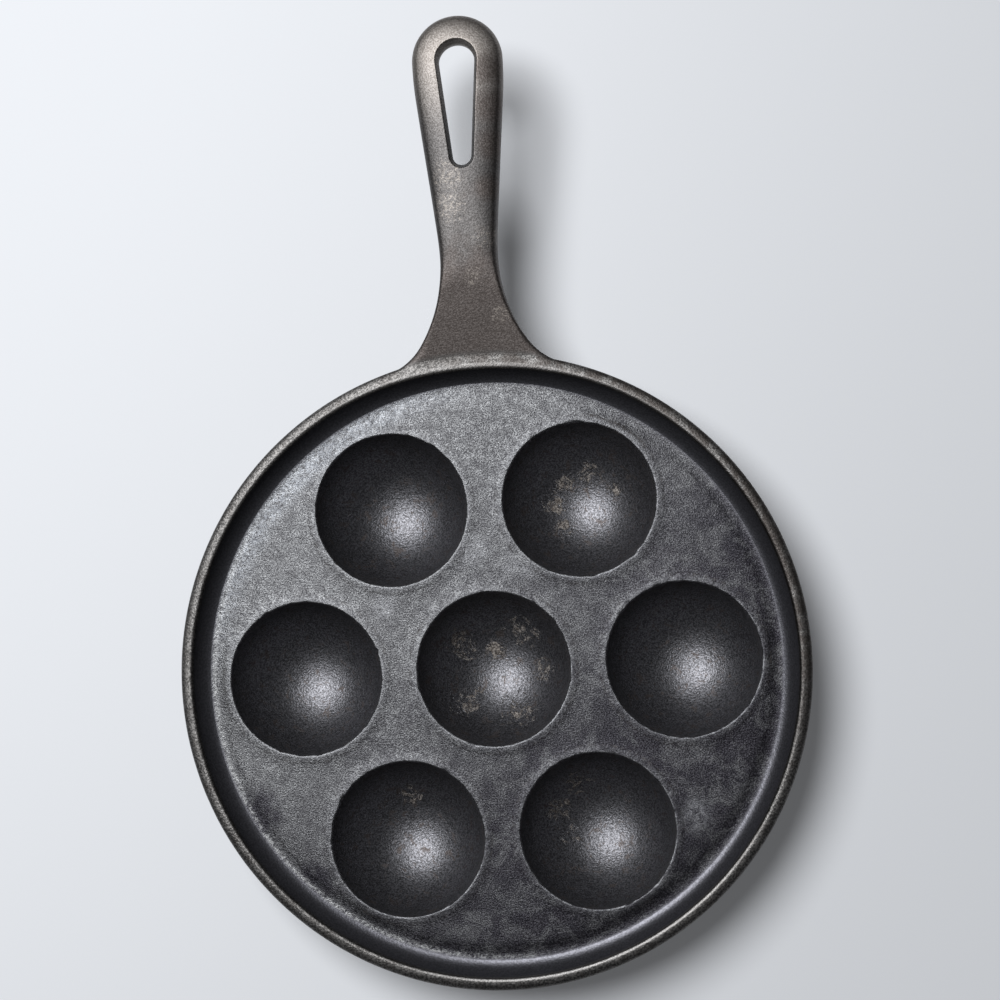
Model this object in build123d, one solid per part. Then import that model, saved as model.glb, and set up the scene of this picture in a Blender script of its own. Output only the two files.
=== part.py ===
from build123d import *
import os
from math import asin, atan2, cos, pi, radians, sin, sqrt, tan

# Cast-iron pan for round filled pancakes: a flat round plate with seven
# hemispherical wells, a raised rim with a cove inside it, a side wall that
# ends in a foot, and a flared handle with a hanging eye.
# The pan is one casting. It is modelled as the regions that a pattern maker
# would carve one by one, each a closed solid seated face to face on the next.
# Millimetres. The pan lies as it stands on a stove: +Z up, the plate's axis on
# Z, the foot and the flats under the cups on z = 0, the handle along +Y.

# Wells
well_diameter = 57.15
well_land = 13.8
mouth_round = 0.8

# Cups, the outside of the wells
cup_wall = 3.4
cup_flat_diameter = 15.0
collar_width = 2.2
collar_edge = 0.5
collar_round = 1.6

# Plate
plate_thickness = 3.8
border_land = 8.0

# Rim
rim_height = 6.0
cove_width = 5.7
lip_width = 4.3
lip_inner_round = 0.6
lip_outer_round = 2.2
lip_side_land = 0.4

# Skirt, the side wall below the plate
skirt_wall = 3.6
skirt_draft = 1.8
foot_width = 4.2
foot_round = 0.8

# Handle root, from the rim to the neck
root_length = 35.0
root_drop = 0.4
root_depth = 13.0
root_seat = 5.0
root_edge_round = 1.0
flare_radius = 54.5
flare_turn = 34.0
flare_foot_radius = 25.0
flare_foot_turn = 70.0
crease_distance = 1.5
crease_radius = 12.0
crest_distance = 5.6
crest_radius = 34.0
under_crease_radius = 18.0
under_crest_radius = 20.0

# Handle grip and hanging eye. The handle still climbs by the lift, in degrees,
# at the neck, and its arched top levels off at the tip.
handle_length = 126.5
handle_rise = 7.4
handle_lift = 6.5
handle_thickness = 9.0
neck_width = 21.3
neck_blend_length = 12.0
grip_start_width = 22.8
head_side_length = 10.1
shoulder_radius = 110.0
end_radius = 17.0
grip_top_round = 5.6
grip_under_round = 2.4
eye_wide_radius = 7.6
eye_narrow_radius = 4.35
eye_distance = 21.6
eye_tip_wall = 10.1
eye_round = 0.8
eye_run_in = 5.0

# One overrun for every cutting tool
overrun = 5.0

# Places that follow from the sizes above
well_radius = well_diameter / 2
cup_radius = well_radius + cup_wall
pitch_radius = well_diameter + well_land
plate_top = sqrt(cup_radius ** 2 - (cup_flat_diameter / 2) ** 2)
plate_under = plate_top - plate_thickness
cove_foot_radius = pitch_radius + well_radius + border_land
rim_radius = cove_foot_radius + cove_width + lip_width
rim_top = plate_top + rim_height
side_end_height = rim_top - lip_outer_round - lip_side_land
shoulder_arc_radius = side_end_height - plate_under
skirt_top_radius = rim_radius - shoulder_arc_radius
foot_radius = skirt_top_radius - skirt_draft

root_top = rim_top - root_drop
neck_top = root_top + handle_rise
neck_y = rim_radius + root_length
blend_y = neck_y + neck_blend_length
tip_y = rim_radius + handle_length
arch_radius = (tip_y - neck_y) / sin(radians(handle_lift))
arch_centre_z = neck_top - arch_radius * cos(radians(handle_lift))
tip_top = arch_centre_z + arch_radius
tip_under = tip_top - handle_thickness
end_centre_y = tip_y - end_radius
eye_wide_y = tip_y - eye_tip_wall - eye_wide_radius
eye_narrow_y = blend_y + eye_distance + eye_narrow_radius
eye_split_y = eye_narrow_y - eye_narrow_radius - eye_run_in


def on_section(shape):
    """Stand a flat shape up in the XZ plane, where x is radius and y is height."""
    return Plane.XZ * shape


def spun(profile):
    """Turn a radius and height profile once round the pan's axis."""
    return revolve(profile, axis=Axis.Z)


def nearest_vertices(shape, *places):
    """The corner of a flat shape that lies nearest to each (x, y) place."""
    corners = shape.vertices()
    return [corners.sort_by_distance((x, y, 0))[0] for x, y in places]


def rounded(shape, radius, *places):
    """Round the corners of a flat shape that lie nearest to the places."""
    return fillet(nearest_vertices(shape, *places), radius)


def block(low, high):
    """An axis-aligned block between two corners."""
    sides = [b - a for a, b in zip(low, high)]
    centre = [(a + b) / 2 for a, b in zip(low, high)]
    return Pos(*centre) * Box(*sides)


def cup_profile():
    """Half section of one cup: hemisphere inside, even wall, collar, flat foot."""
    ball = Pos(0, plate_top) * Circle(cup_radius)
    hollow = Pos(0, plate_top) * Circle(well_radius)
    neck = Pos(cup_radius / 2, plate_top - plate_thickness / 2) * Rectangle(cup_radius, plate_thickness)
    collar_radius = cup_radius + collar_width
    collar = Pos(collar_radius / 2, plate_under - collar_edge / 2) * Rectangle(collar_radius, collar_edge)
    lower_half = Pos(cup_radius / 2, plate_under / 2) * Rectangle(cup_radius, plate_under)
    profile = (ball & lower_half) + neck + collar
    ball_at_collar = sqrt(cup_radius ** 2 - (plate_thickness + collar_edge) ** 2)
    profile = rounded(profile, collar_round, (ball_at_collar, plate_under - collar_edge))
    profile -= hollow
    return rounded(profile, mouth_round, (well_radius, plate_top))


def plate():
    """The flat web: a disc out to the cove, with a round seat for every cup."""
    web = Pos(0, 0, plate_under) * extrude(Circle(cove_foot_radius), amount=plate_thickness)
    seats = [Pos(x, y) * Circle(cup_radius) for x, y in well_places().values()]
    for seat in seats:
        web -= Pos(0, 0, plate_under - overrun) * extrude(seat, amount=plate_thickness + 2 * overrun)
    return web


def well_places():
    """Centre of each well by name: one in the middle and a ring of six."""
    names = ["right", "handle_right", "handle_left", "left", "far_left", "far_right"]
    places = {"centre": (0, 0)}
    for index, name in enumerate(names):
        turn = 2 * pi * index / len(names)
        places[name] = (pitch_radius * cos(turn), pitch_radius * sin(turn))
    return places


def rim_outline():
    """Half section of the rim: cove inside, flat lip, vertical side, round shoulder."""
    cove_radius = (cove_width ** 2 + rim_height ** 2) / (2 * rim_height)
    half_turn = atan2(cove_width, cove_radius - rim_height) / 2
    cove_middle = (
        cove_foot_radius + cove_radius * sin(half_turn),
        plate_top + cove_radius * (1 - cos(half_turn)),
    )
    arc_centre = (rim_radius - shoulder_arc_radius, plate_under + shoulder_arc_radius)
    arc_middle = (
        arc_centre[0] + shoulder_arc_radius * cos(pi / 4),
        arc_centre[1] - shoulder_arc_radius * sin(pi / 4),
    )
    plate_edge = (cove_foot_radius, plate_top)
    lip_inside = (cove_foot_radius + cove_width, rim_top)
    lip_outside = (rim_radius, rim_top)
    side_end = (rim_radius, side_end_height)
    shoulder_end = (skirt_top_radius, plate_under)
    under_edge = (cove_foot_radius, plate_under)
    outline = (
        Line(under_edge, plate_edge)
        + ThreePointArc(plate_edge, cove_middle, lip_inside)
        + Line(lip_inside, lip_outside)
        + Line(lip_outside, side_end)
        + ThreePointArc(side_end, arc_middle, shoulder_end)
        + Line(shoulder_end, under_edge)
    )
    section = make_face(outline)
    section = rounded(section, lip_inner_round, lip_inside)
    return rounded(section, lip_outer_round, lip_outside)


def skirt_outline():
    """Half section of the side wall, which leans in to a thicker foot."""
    corners = [
        (skirt_top_radius, plate_under),
        (foot_radius, 0),
        (foot_radius - foot_width, 0),
        (skirt_top_radius - skirt_wall, plate_under),
    ]
    section = make_face(Polyline(*corners, close=True))
    return rounded(section, foot_round, corners[1], corners[2])


def pan_envelope():
    """Everything inside the pan's outer surface, used to seat the handle on it."""
    core = Pos(skirt_top_radius / 2, plate_under / 2) * Rectangle(skirt_top_radius, plate_under)
    lean = make_face(
        Polyline(
            (skirt_top_radius, plate_under),
            (skirt_top_radius + overrun, plate_under),
            (foot_radius + overrun, 0),
            (foot_radius, 0),
            close=True,
        )
    )
    middle = Pos(cove_foot_radius / 2, (plate_under + rim_top) / 2) * Rectangle(
        cove_foot_radius, rim_top - plate_under
    )
    fill_width = cove_width + lip_inner_round
    cove_fill = Pos(cove_foot_radius + fill_width / 2, rim_top - rim_height / 2) * Rectangle(
        fill_width, rim_height
    )
    return spun(on_section((core - lean) + middle + cove_fill + rim_outline()))


def flare_arcs():
    """Right side of the root in plan: start, middle and end of both arcs, from the neck."""
    arcs = []
    start = (neck_width / 2, neck_y)
    turn = 0
    for radius, end_turn in ((flare_radius, flare_turn), (flare_foot_radius, flare_foot_turn)):
        centre = (start[0] + radius * cos(turn), start[1] + radius * sin(turn))
        turns = (turn, (turn + radians(end_turn)) / 2, radians(end_turn))
        places = [(centre[0] - radius * cos(t), centre[1] - radius * sin(t)) for t in turns]
        arcs.append(places)
        start = places[-1]
        turn = turns[-1]
    return arcs


def root_plan():
    """Plan of the root: the neck's width, flaring on two arcs to either side of the rim."""
    inner_y = cove_foot_radius - root_seat
    arcs = flare_arcs()
    flare_end = arcs[-1][-1]
    outline = Line((neck_width / 2, neck_y), (-neck_width / 2, neck_y))
    outline += Line((flare_end[0], inner_y), (-flare_end[0], inner_y))
    for side in (1, -1):
        for arc in arcs:
            outline += ThreePointArc(*[(side * x, y) for x, y in arc])
        outline += Line((side * flare_end[0], flare_end[1]), (side * flare_end[0], inner_y))
    return make_face(outline)


def arch_height(y, depth):
    """Height of the arched handle at a place along it, at a depth below its top."""
    return arch_centre_z + sqrt((arch_radius - depth) ** 2 - (tip_y - y) ** 2)


def root_side():
    """Side view of the root: level at the rim, up a ramp, then into the handle's climb."""
    inner_y = cove_foot_radius - root_seat
    foot_y = rim_radius + crease_distance
    crest_y = neck_y - crest_distance
    crest_drop = crest_distance * tan(radians(handle_lift))
    root_under = root_top - root_depth
    neck_under = arch_height(neck_y, handle_thickness)
    top_line = FilletPolyline(
        (inner_y, root_top),
        (foot_y, root_top),
        (crest_y, neck_top - crest_drop),
        (neck_y, neck_top),
        radius=[crease_radius, crest_radius],
    )
    under_line = FilletPolyline(
        (inner_y, root_under),
        (foot_y, root_under),
        (crest_y, neck_under - crest_drop),
        (neck_y, neck_under),
        radius=[under_crease_radius, under_crest_radius],
    )
    ends = Line((inner_y, root_top), (inner_y, root_under)) + Line((neck_y, neck_top), (neck_y, neck_under))
    return Plane.YZ * make_face(top_line + under_line + ends)


def handle_root():
    """The flared web, seated on the rim, its shoulder and the side wall."""
    tall = neck_top + overrun
    wide = rim_radius
    web = extrude(root_plan(), amount=tall)
    web &= extrude(root_side(), amount=wide, both=True)
    flare_end_y = flare_arcs()[-1][-1][1]
    long_edges = [
        edge
        for edge in web.edges()
        if edge.bounding_box().size.Y > root_edge_round
        and edge.bounding_box().min.Y > flare_end_y - root_edge_round
        and abs(edge.center().X) > neck_width / 4
    ]
    web = fillet(long_edges, root_edge_round)
    return web - pan_envelope()


def neck_section():
    """Cross-section of the handle where the root ends."""
    neck_under = arch_height(neck_y, handle_thickness)
    middle = (neck_top + neck_under) / 2
    half = neck_width / 2
    corners = [(-half, neck_top), (half, neck_top), (-half, neck_under), (half, neck_under)]
    face = rounded(Pos(0, middle) * Rectangle(neck_width, neck_top - neck_under), root_edge_round, *corners)
    neck_plane = Plane(origin=(0, neck_y, 0), x_dir=(1, 0, 0), z_dir=(0, -1, 0))
    return neck_plane * face


def neck(bar):
    """The stretch where the root's sharp edges grow into the bar's round ones."""
    return loft([neck_section(), bar.faces().sort_by(Axis.Y)[0]])


def grip_plan():
    """Plan of the grip: sides that spread to the shoulders and a round end."""
    start_half = grip_start_width / 2
    shoulder_y = end_centre_y - head_side_length
    outline = (
        Line((start_half, blend_y), (-start_half, blend_y))
        + Line((-start_half, blend_y), (-end_radius, shoulder_y))
        + Line((-end_radius, shoulder_y), (-end_radius, end_centre_y))
        + ThreePointArc((-end_radius, end_centre_y), (0, tip_y), (end_radius, end_centre_y))
        + Line((end_radius, end_centre_y), (end_radius, shoulder_y))
        + Line((end_radius, shoulder_y), (start_half, blend_y))
    )
    plan = make_face(outline)
    return rounded(plan, shoulder_radius, (-end_radius, shoulder_y), (end_radius, shoulder_y))


def eye_plan():
    """Teardrop opening: two circles joined by their outer tangents."""
    lean = asin((eye_wide_radius - eye_narrow_radius) / (eye_wide_y - eye_narrow_y))
    wide_x = eye_wide_radius * cos(lean)
    wide_y = eye_wide_y - eye_wide_radius * sin(lean)
    narrow_x = eye_narrow_radius * cos(lean)
    narrow_y = eye_narrow_y - eye_narrow_radius * sin(lean)
    top = (0, eye_wide_y + eye_wide_radius)
    bottom = (0, eye_narrow_y - eye_narrow_radius)
    outline = (
        ThreePointArc((wide_x, wide_y), top, (-wide_x, wide_y))
        + Line((-wide_x, wide_y), (-narrow_x, narrow_y))
        + ThreePointArc((-narrow_x, narrow_y), bottom, (narrow_x, narrow_y))
        + Line((narrow_x, narrow_y), (wide_x, wide_y))
    )
    return make_face(outline)


def bar_side():
    """Side view of the grip and the eye, an even arch."""
    lines = []
    for depth in (0, handle_thickness):
        places = [(y, arch_height(y, depth)) for y in (blend_y, (blend_y + tip_y) / 2, tip_y)]
        lines.append(ThreePointArc(*places))
    top_line, under_line = lines
    ends = Line(top_line @ 0, under_line @ 0) + Line(top_line @ 1, under_line @ 1)
    return Plane.YZ * make_face(top_line + under_line + ends)


def round_outline(bar, face, radius):
    """Round the edges of the bar's top or under face, all but the one towards the neck."""
    edges = [edge for edge in face.edges() if edge.bounding_box().max.Y > blend_y + eye_round / 2]
    return fillet(edges, radius)


def handle_bar():
    """Grip and eye in one length, with the outer edges and the eye's edges rounded."""
    bar = extrude(grip_plan(), amount=tip_top + overrun) & extrude(bar_side(), amount=2 * end_radius, both=True)
    eye_wall = end_radius - eye_wide_radius
    bar = round_outline(bar, bar.faces().sort_by(Axis.Z)[-1], min(grip_top_round, eye_wall - 2 * eye_round))
    bar = round_outline(bar, bar.faces().sort_by(Axis.Z)[0], grip_under_round)
    bar -= extrude(eye_plan(), amount=tip_top + overrun)
    hole_edges = []
    for edge in bar.edges():
        box = edge.bounding_box()
        beside = max(abs(box.min.X), abs(box.max.X)) < eye_wide_radius + eye_round / 2
        beyond = box.min.Y > eye_narrow_y - eye_narrow_radius - eye_round / 2
        before = box.max.Y < eye_wide_y + eye_wide_radius + eye_round / 2
        if beside and beyond and before and box.size.X + box.size.Y > eye_round / 2:
            hole_edges.append(edge)
    return fillet(hole_edges, eye_round)


def handle_parts():
    """The handle beyond the neck, as the grip and the eye that meet at one plane."""
    bar = handle_bar()
    side = 2 * end_radius
    low_z = 0
    high_z = tip_top + overrun
    grip_space = block((-side, blend_y - overrun, low_z), (side, eye_split_y, high_z))
    eye_space = block((-side, eye_split_y, low_z), (side, tip_y + overrun, high_z))
    return neck(bar) + (bar & grip_space), bar & eye_space


def build():
    """Every node of the pan, by name."""
    nodes = {"griddle_plate": plate()}
    nodes["rim"] = spun(on_section(rim_outline()))
    nodes["skirt"] = spun(on_section(skirt_outline()))
    cup = spun(on_section(cup_profile()))
    for name, (x, y) in well_places().items():
        nodes["cup_" + name] = Pos(x, y) * cup
    nodes["handle_root"] = handle_root()
    nodes["handle_grip"], nodes["hanging_eye"] = handle_parts()
    return nodes


def main():
    os.makedirs("parts", exist_ok=True)
    for name, solid in build().items():
        solid.label = name
        export_step(solid, "parts/" + name + ".step")
        box = solid.bounding_box()
        print(name, round(solid.volume), box.min, box.max)


main()
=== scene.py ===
from math import atan2, cos, hypot, pi, radians, sin, sqrt, tan

import bmesh
import bpy
from bmesh.types import BMEdge, BMVert
from mathutils import Euler, Matrix, Vector, noise


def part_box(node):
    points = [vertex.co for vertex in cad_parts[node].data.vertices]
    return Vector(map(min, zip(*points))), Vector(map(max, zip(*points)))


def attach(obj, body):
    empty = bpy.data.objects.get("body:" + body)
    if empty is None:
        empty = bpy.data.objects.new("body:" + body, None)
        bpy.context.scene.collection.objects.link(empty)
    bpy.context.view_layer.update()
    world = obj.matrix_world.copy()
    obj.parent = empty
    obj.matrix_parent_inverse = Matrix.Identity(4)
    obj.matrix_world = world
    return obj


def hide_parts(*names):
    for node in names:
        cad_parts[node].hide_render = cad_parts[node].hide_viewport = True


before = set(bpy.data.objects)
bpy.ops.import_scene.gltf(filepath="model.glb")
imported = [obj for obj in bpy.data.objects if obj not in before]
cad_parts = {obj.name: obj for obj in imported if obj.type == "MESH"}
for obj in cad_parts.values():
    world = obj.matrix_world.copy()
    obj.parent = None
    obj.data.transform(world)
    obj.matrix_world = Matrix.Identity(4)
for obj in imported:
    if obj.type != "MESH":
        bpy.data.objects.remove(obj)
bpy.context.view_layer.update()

# A cast-iron pan for round filled pancakes. It is one casting, so every piece
# meets the next at a flush seam and all take their unevenness from one field in
# space. Metres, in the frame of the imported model: +Z up, handle along +Y, foot
# on z = 0.

MM = 0.001

# Places read from the frame
plate_low, plate_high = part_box("griddle_plate")
rim_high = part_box("rim")[1]
skirt_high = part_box("skirt")[1]
root_low, root_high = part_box("handle_root")
grip_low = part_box("handle_grip")[0]
eye_low, eye_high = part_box("hanging_eye")
PLATE_TOP = plate_high.z
PLATE_UNDER = plate_low.z
COVE_FOOT = plate_high.x
RIM_RADIUS = rim_high.x
RIM_TOP = rim_high.z
SKIRT_TOP = skirt_high.x
ROOT_UNDER = root_low.z
NECK_Y = root_high.y
NECK_TOP = root_high.z
NECK_UNDER = grip_low.z
EYE_START_Y = eye_low.y
TIP_Y = eye_high.y
END_RADIUS = eye_high.x
CUPS = ["centre", "right", "handle_right", "handle_left", "left", "far_left", "far_right"]

# Sizes of the cups, the rim and the side wall. The lip is wider beside the handle
# by its spread.
WELL_RADIUS = 28.575 * MM
CUP_RADIUS = 31.975 * MM
MOUTH_ROUND = 0.7 * MM
COLLAR_RADIUS = 34.175 * MM
COLLAR_EDGE = 0.5 * MM
COLLAR_ROUND = 0.96 * MM
COVE_WIDTH = 7.4 * MM
COVE_DEPTH = RIM_TOP - PLATE_TOP
COVE_RADIUS = (COVE_WIDTH ** 2 + COVE_DEPTH ** 2) / (2 * COVE_DEPTH)
LIP_WIDTH = 4.5 * MM
LIP_SPREAD = 1.1 * MM
LIP_SPREAD_REACH = radians(32)
LIP_INNER_WIDTH = 1.2 * MM
LIP_INNER_ROUND = 0.8 * MM
LIP_CROWN = 3.4 * MM
LIP_OUTER_ROUND = 1.6 * MM
LIP_EDGE = RIM_RADIUS - LIP_WIDTH
COVE_START = LIP_EDGE - COVE_WIDTH
SHOULDER_ROUND = 7.1 * MM
FOOT_RADIUS = 108.525 * MM
FOOT_WIDTH = 4.2 * MM
FOOT_ROUND = 0.8 * MM
SKIRT_WALL = 3.6 * MM

# Handle, seen from above: two arcs from the neck out to the rim, then straight
# sides that spread to the round head
NECK_HALF = 10.65 * MM
FLARE_RADIUS = 54.5 * MM
FLARE_TURN = radians(34)
FLARE_FOOT_RADIUS = 25 * MM
FLARE_FOOT_TURN = radians(70)
FLARE_CENTRE = (NECK_HALF + FLARE_RADIUS, NECK_Y)
FLARE_FOOT_CENTRE = (
    FLARE_CENTRE[0] - (FLARE_RADIUS - FLARE_FOOT_RADIUS) * cos(FLARE_TURN),
    FLARE_CENTRE[1] - (FLARE_RADIUS - FLARE_FOOT_RADIUS) * sin(FLARE_TURN),
)
GRIP_SPREAD_Y = 157.5 * MM
GRIP_SPREAD_REACH = 6 * MM
GRIP_SPREAD = 0.1025
SHOULDER_Y = 219.4 * MM
SHOULDER_REACH = 7 * MM
END_CENTRE_Y = TIP_Y - END_RADIUS

# Handle, seen from the side: a slope up to the neck, then an even arch that
# still climbs by the lift at the neck and is level at the tip. The slope begins
# on the lip above, and a little outside the rim below.
CREASE = RIM_RADIUS - 0.8 * MM
CREASE_REACH = 1.2 * MM
UNDER_CREASE = RIM_RADIUS + 1.5 * MM
CREST_Y = NECK_Y - 5.6 * MM
CREST_REACH = 4.5 * MM
UNDER_REACH = 3.7 * MM
FOOT_BLEND = 3 * MM
HANDLE_LIFT = radians(6.5)
HANDLE_THICKNESS = 9 * MM
ARCH_RADIUS = (TIP_Y - NECK_Y) / sin(HANDLE_LIFT)
ARCH_CENTRE_Z = NECK_TOP - ARCH_RADIUS * cos(HANDLE_LIFT)

# The root's tongue, which seats it under the shoulder: how near the axis it
# comes at its foot and at its top, and where that top lies
TONGUE_RADII = (107.9 * MM, 113.6 * MM)
TONGUE_TOP = RIM_TOP - 3.5 * MM

# The handle's cross-section by place: width and depth of the crown, then of the
# upper edge's round, and in the second table those of the lower edge's round
TOP_ROUNDS = [
    (RIM_RADIUS, 4 * MM, 0, LIP_CROWN, LIP_OUTER_ROUND),
    (RIM_RADIUS + 9 * MM, 5 * MM, 0, 1.3 * MM, 1.3 * MM),
    (NECK_Y - 12 * MM, 6 * MM, 0, 1.5 * MM, 1.5 * MM),
    (NECK_Y + 4 * MM, 8 * MM, 2.0 * MM, 1.8 * MM, 1.4 * MM),
    (NECK_Y + 30 * MM, 12.5 * MM, 3.6 * MM, 2.1 * MM, 1.5 * MM),
    (TIP_Y, 15 * MM, 4.3 * MM, 2.2 * MM, 1.5 * MM),
]
UNDER_ROUNDS = [
    (NECK_Y, 1.0 * MM, 1.0 * MM),
    (NECK_Y + 12 * MM, 2.2 * MM, 2.2 * MM),
]

# Eye, a teardrop round two circles. Its wall stands further in at a waist, where
# the two halves of the mould met, and more so at its ends.
EYE_WIDE_RADIUS = 7.6 * MM
EYE_NARROW_RADIUS = 4.35 * MM
EYE_WIDE_Y = TIP_Y - 10.1 * MM - EYE_WIDE_RADIUS
EYE_NARROW_Y = 190.475 * MM
EYE_ROUND = 0.6 * MM
EYE_WAIST_DEPTH = HANDLE_THICKNESS / 3
EYE_DRAFT = 0.9 * MM
EYE_END_DRAFT = 0.45 * MM

# Marks, each with its place and its reach in millimetres. Of use: burnt crusts in
# the wells, dark residues and rubbed patches on the web, pale specks on the handle.
# And painted shade down the right side of the handle's head
CRUST_MARKS = [
    (37.8, 73, 9), (30, 69, 8), (24, 62, 9), (27, 52, 8), (48, 66, 6),
    (-14, 8, 12), (-2, 7.4, 8), (10, 13, 12), (6, -16, 12), (-12, -12, 11), (16, -2, 8),
    (-37.2, -47, 8), (27, -46, 9), (20, -55, 9), (24, -65, 8),
]
RESIDUE_MARKS = [
    (100, 8, 28), (97, 36, 26), (88, -52, 26), (-92, -50, 15), (-72, -76, 13),
    (-8, -98, 26), (50, -92, 24),
]
RUBBED_MARKS = [(71.8, -57.3, 9), (-5.6, 45.5, 8), (9.5, 39, 6), (15.8, 37.5, 6), (-40, 26, 7)]
HANDLE_SHADE_MARKS = [(11, 222, 9), (12, 208, 10), (12, 194, 9), (9, 178, 7)]
SPECK_MARKS = [(1.4, 145.7, 6), (11, 131.5, 7), (-5, 184, 12), (-6, 172, 12), (8, 160, 9)]

# Unevenness that the sand mould and years of use leave: a web worn low between
# the wells and along the cove, a slow wave with a ripple in it, and well mouths
# that are rough and chipped
DISH_DEPTH = 0.35 * MM
DISH_REACH = 5.5 * MM
BORDER_DEPTH = 0.48 * MM
BORDER_REACH = 5.0 * MM
WAVE_LENGTH = 34 * MM
WAVE_DEPTH = 0.16 * MM
RIPPLE_PART = 4
CHIP_REACH = 1.6 * MM
CHIP_DEPTH = 1.1 * MM
CHIP_LENGTH = 3.2 * MM
CHIP_START = 0.26
CHIP_DROP = 0.6
ROUGH_DEPTH = 0.13 * MM
ROUGH_LENGTH = 1.6 * MM

# Patterns of the finishes, each with the size of its features in millimetres,
# its detail, roughness and twist. The first of each table is the sand's grain.
# The grit of fine moulding sand is 0.1 to 0.3 mm, too fine to show, so it is drawn
# as coarse as 0.5 to 1 mm. The others are patches of wear, oil and crust.
WEB_PATTERNS = [
    (0.5, 2, 0.6, 0), (3.5, 5, 0.6, 0), (26, 4, 0.6, 0),
    (1.3, 5, 0.75, 0), (9, 7, 0.75, 0.8), (1.7, 6, 0.75, 1.2),
]
COVE_PATTERNS = [(0.7, 2, 0.6, 0)]
WELL_PATTERNS = [(0.65, 2, 0.6, 0), (4, 6, 0.7, 0.6), (4.5, 9, 0.8, 1), (0.9, 1, 0.6, 0)]
MOUTH_PATTERNS = [(1.5, 3, 0.6, 0)]
SIDE_PATTERNS = [(1, 3, 0.6, 0)]
LIP_PATTERNS = [(0.7, 2, 0.6, 0), (6, 4, 0.6, 0)]
HANDLE_PATTERNS = [(0.6, 2, 0.6, 0), (9, 5, 0.6, 0), (1.8, 8, 0.8, 1.5)]

# How deep the grain is, on the pan and on the handle that hands have smoothed
PAN_RELIEF = 0.16 * MM
HANDLE_RELIEF = 0.08 * MM

# Settings that many nodes share. A Map Range takes a value as input 0 from the
# range of inputs 1 and 2 to that of 3 and 4, nought to one unless given. A Mix
# takes its share as input 0, two colours as 6 and 7 or two values as 2 and 3.
SMOOTH = {"interpolation_type": "SMOOTHSTEP"}
COLOURS = {"data_type": "RGBA"}

# Where the camera and the lamp stand. The camera's turns are in degrees.
CAMERA_PLACE = (76.668 * MM, 16.293 * MM, 774.75 * MM)
CAMERA_TURNS = (3.261, 5.622, -3.135)
CAMERA_LENS = 72
CAMERA_SENSOR = 36
LAMP_PLACE = Vector((-0.43, 0.56, 1.50))
LAMP_TARGET = Vector((0, 0.03, 0))
LAMP_WIDTH = 0.9
LAMP_WATTS = 34
SKY_STRENGTH = 0.02
FLOOR_HALF = 6

# Steps of the meshes
RIM_STEPS = 360
CUP_STEPS = 192
CUP_OUTER_RINGS = 40
CUP_INNER_RINGS = 96
LAND_SHARES = (0.8, 0.6, 0.4, 0)
COVE_STEPS = 18
LIP_STEPS = 20
SHOULDER_STEPS = 14
ROUND_STEPS = 5
RIM_LONGEST = 1.2 * MM
SKIRT_LONGEST = 2 * MM
PLATE_RINGS = 9
PLATE_RING_WIDTH = 0.6 * MM
PLATE_GRID = 2 * MM
PLATE_MARGIN = 0.7 * MM
FOOT_STATIONS = 24
FLARE_STATIONS = 40
GRIP_STATIONS = 36
ROOT_ACROSS = 56
GRIP_ACROSS = 48
BULGE_FADE = 1.5
EYE_AROUND = 400
EYE_ACROSS = 30
EYE_CUTS = 5
HEAD_SHARES = (0.12, 0.52, 0.36)
HALVINGS = 40
SHARP_ANGLE = radians(40)

# How near two places are to count as one, and to lie on an edge, on the rim's
# side and on a ring
MERGE = MM / 1000
SLACK = MM / 100
RIM_SLACK = MM / 50
RING_SLACK = MM / 20


def unit(value):
    """A value held between nought and one."""
    return max(0.0, min(1.0, value))


def ease(value):
    """Nought to one with a level start and end."""
    value = unit(value)
    return value * value * (3 - 2 * value)


def bend(distance, reach):
    """Nought before a corner and the distance after it, rounded within the reach."""
    if abs(distance) < reach:
        return (distance + reach) ** 2 / (4 * reach)
    return max(0.0, distance)


def rounding(inset, width, depth):
    """How far a rounded edge lies below the flat, at an inset from the outline."""
    if inset >= width:
        return 0.0
    share = unit(1 - inset / width)
    return depth * (1 - sqrt(max(0.0, 1 - share * share)))


def rounds_at(table, y):
    """Widths and depths of the handle's cross-section at a place along it."""
    if y <= table[0][0]:
        return table[0][1:]
    for (start, *first), (end, *last) in zip(table, table[1:]):
        if y <= end:
            share = ease((y - start) / (end - start))
            return tuple(a + (b - a) * share for a, b in zip(first, last))
    return table[-1][1:]


def top_drop(x, y):
    """How far the crown and the rounded edge lie below the handle's ridge."""
    inset = edge_inset(x, y)
    width, depth, edge_width, edge_depth = rounds_at(TOP_ROUNDS, y)
    return rounding(inset, width, depth) + rounding(inset, edge_width, edge_depth)


def well_centre(name):
    """Middle of a cup, from its node."""
    low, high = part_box("cup_" + name)
    return Vector(((low.x + high.x) / 2, (low.y + high.y) / 2, 0))


WELLS = [well_centre(name) for name in CUPS]


def mouth_distance(x, y):
    """Distance from the nearest well's mouth, less than nought inside the well."""
    return min(hypot(x - well.x, y - well.y) for well in WELLS) - WELL_RADIUS


def half_width(y):
    """Half the handle's width between the neck and its round end."""
    spread = bend(y - GRIP_SPREAD_Y, GRIP_SPREAD_REACH) - bend(y - SHOULDER_Y, SHOULDER_REACH)
    return min(NECK_HALF + GRIP_SPREAD * spread, END_RADIUS)


def flare_place(centre, radius, turn):
    """A place on one of the flare's arcs, which bow towards the handle's middle."""
    return centre[0] - radius * cos(turn), centre[1] - radius * sin(turn)


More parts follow.
